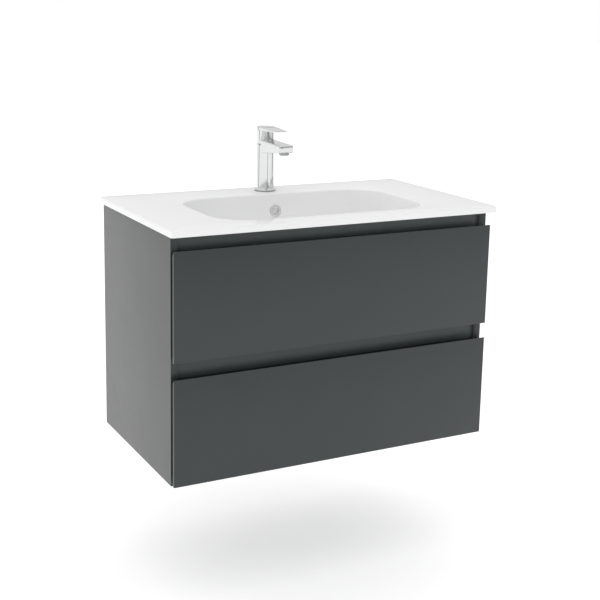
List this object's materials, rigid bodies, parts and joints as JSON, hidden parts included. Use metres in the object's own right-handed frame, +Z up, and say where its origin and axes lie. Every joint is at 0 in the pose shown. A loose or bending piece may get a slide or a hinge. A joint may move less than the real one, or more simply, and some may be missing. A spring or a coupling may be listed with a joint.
{
  "type": "bathroom vanity cabinet",
  "caption": "Wall-hung bathroom vanity with two sliding drawers behind handleless fronts, an inset basin, a single-lever tap, a waste and a trap.",
  "frame": {"origin": "on the wall plane, at the middle of the wall rail's line of screw holes", "axes": "+X to the cabinet's right as seen by someone facing it, +Y towards the wall, +Z up"},
  "size_m": [0.82, 0.485, 0.726],
  "materials": {
    "lacquer": "matt lacquer on board",
    "front": "matt lacquer on board",
    "channel": "matt powder coat on aluminium",
    "board": "melamine-faced board",
    "drawer_box": "melamine-faced board, light grey",
    "beech": "unfinished beech",
    "zinc": "zinc plated",
    "runner": "zinc plated, rolled",
    "steel": "turned",
    "hanger": "moulded",
    "recess_liner": "moulded",
    "rubber": "matt",
    "glaze": "white gloss, glazed or gel-coated",
    "chrome": "polished",
    "brass": "turned"
  },
  "bodies": {
    "cabinet": {"side_panel_left": "lacquer", "side_panel_right": "lacquer", "bottom_panel": "board", "back_rail_upper": "board", "back_rail_lower": "board", "grip_channel_upper": "channel", "grip_channel_middle": "channel", "channel_brackets": "zinc", "cam_fasteners": "zinc", "wood_dowels": "beech", "wall_rail": "zinc", "wall_hanger_left": "hanger", "wall_hanger_right": "hanger", "hanger_screws": "zinc", "wall_pads": "rubber", "front_bumpers": "rubber", "upper_runner_outer_left": "runner", "upper_runner_outer_right": "runner", "lower_runner_outer_left": "runner", "lower_runner_outer_right": "runner", "basin_deck": "glaze", "basin_bowl": "glaze", "overflow_ring": "chrome", "waste_body": "chrome", "waste_washer": "rubber", "waste_nut": "chrome", "trap_nut": "chrome", "trap_dip_tube": "chrome", "trap_body": "chrome", "trap_cup": "chrome", "trap_outlet_pipe": "chrome", "wall_rosette": "chrome", "tap_body": "chrome", "tap_gasket": "rubber", "tap_aerator": "chrome", "tap_stud": "steel", "tap_clamp": "brass"},
    "upper_drawer": {"upper_drawer_front": "front", "upper_drawer_side_left": "drawer_box", "upper_drawer_side_right": "drawer_box", "upper_drawer_backs": "drawer_box", "upper_drawer_bottom": "drawer_box", "upper_drawer_recess": "recess_liner", "upper_runner_inner_left": "runner", "upper_runner_inner_right": "runner"},
    "upper_runner": {"upper_runner_middle_left": "runner", "upper_runner_middle_right": "runner"},
    "lower_drawer": {"lower_drawer_front": "front", "lower_drawer_side_left": "drawer_box", "lower_drawer_side_right": "drawer_box", "lower_drawer_back": "drawer_box", "lower_drawer_bottom": "drawer_box", "lower_runner_inner_left": "runner", "lower_runner_inner_right": "runner"},
    "lower_runner": {"lower_runner_middle_left": "runner", "lower_runner_middle_right": "runner"},
    "plug": {"waste_plug": "chrome", "plug_seal": "rubber"},
    "cartridge": {"tap_rotor": "steel"},
    "lever": {"tap_lever": "chrome"}
  },
  "joints": [
    {"name": "upper_drawer_slide", "type": "slide", "parent": "cabinet", "child": "upper_drawer", "axis": [0, -1, 0], "range_m": [0, 0.38]},
    {"name": "upper_runner_slide", "type": "slide", "parent": "cabinet", "child": "upper_runner", "axis": [0, -1, 0], "range_m": [0, 0.19]},
    {"name": "lower_drawer_slide", "type": "slide", "parent": "cabinet", "child": "lower_drawer", "axis": [0, -1, 0], "range_m": [0, 0.38]},
    {"name": "lower_runner_slide", "type": "slide", "parent": "cabinet", "child": "lower_runner", "axis": [0, -1, 0], "range_m": [0, 0.19]},
    {"name": "plug_lift", "type": "slide", "parent": "cabinet", "child": "plug", "axis": [0, 0, 1], "range_m": [0, 0.008]},
    {"name": "tap_turn", "type": "hinge", "parent": "cabinet", "child": "cartridge", "pos_m": [0, -0.054, 0.185], "axis": [0, 0, 1], "range_deg": [-45, 45]},
    {"name": "tap_lift", "type": "hinge", "parent": "cartridge", "child": "lever", "pos_m": [0, -0.048, 0.177], "axis": [-1, 0, 0], "range_deg": [0, 20]}
  ],
  "couplings": [
    {"joint": "upper_runner_slide", "follows": "upper_drawer_slide", "ratio": 0.5},
    {"joint": "lower_runner_slide", "follows": "lower_drawer_slide", "ratio": 0.5}
  ]
}
